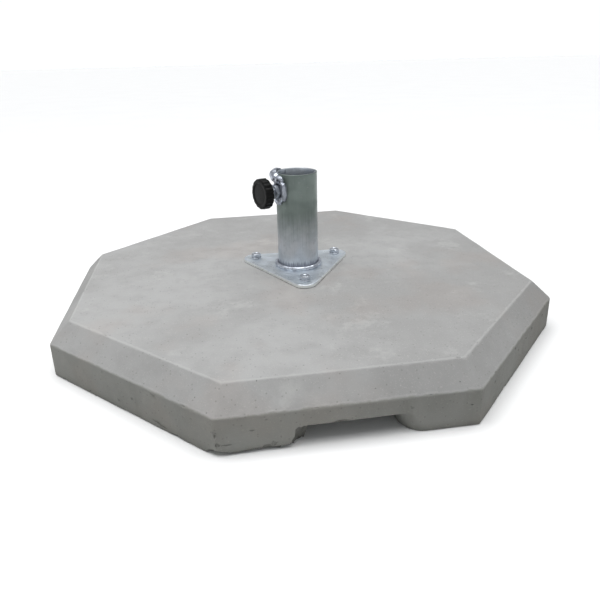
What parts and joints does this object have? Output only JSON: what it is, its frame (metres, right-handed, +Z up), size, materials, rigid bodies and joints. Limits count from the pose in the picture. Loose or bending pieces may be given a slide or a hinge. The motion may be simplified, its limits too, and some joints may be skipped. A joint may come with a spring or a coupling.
{
  "type": "parasol base",
  "caption": "Octagonal cast concrete parasol base with a bolted triangular steel plate, a welded pole socket and a knob-headed clamp screw.",
  "frame": {"origin": "centre of the slab's underside, where the base stands on the ground", "axes": "+Z up along the pole socket; -Y towards the front hand recess; flats of the octagon face +X, -X, +Y and -Y"},
  "size_m": [0.672, 0.672, 0.2153],
  "materials": {
    "cast_concrete": "fair-faced cast concrete, matt, with fine pores",
    "zinc_plated_steel": "zinc plated, satin",
    "bright_zinc": "bright zinc plated",
    "weld_metal": "plated weld bead",
    "anchor_steel": "plain machined steel",
    "black_plastic": "moulded, fine texture",
    "nylon": "natural nylon"
  },
  "bodies": {
    "base": {"concrete_slab": "cast_concrete", "base_plate": "zinc_plated_steel", "socket_tube": "zinc_plated_steel", "tube_weld": "weld_metal", "plate_bolt_1": "bright_zinc", "plate_bolt_2": "bright_zinc", "plate_bolt_3": "bright_zinc", "plate_washer_1": "bright_zinc", "plate_washer_2": "bright_zinc", "plate_washer_3": "bright_zinc", "cast_sleeve_1": "anchor_steel", "cast_sleeve_2": "anchor_steel", "cast_sleeve_3": "anchor_steel", "clamp_nut": "bright_zinc", "nut_weld": "weld_metal"},
    "screw_travel": {"thrust_cap": "nylon"},
    "screw_and_knob": {"clamp_screw": "bright_zinc", "clamp_knob": "black_plastic"}
  },
  "joints": [
    {"name": "clamp_travel", "type": "slide", "parent": "base", "child": "screw_travel", "axis": [0.9063, 0.4226, 0], "range_m": [-0.00438, 0.00876]},
    {"name": "knob_turn", "type": "hinge", "parent": "screw_travel", "child": "screw_and_knob", "pos_m": [-0.05121, -0.02388, 0.1906], "axis": [0.9063, 0.4226, 0], "range_deg": [-900, 1800]}
  ],
  "couplings": [
    {"joint": "clamp_travel", "follows": "knob_turn", "m_per_rad": 0.00027852}
  ]
}
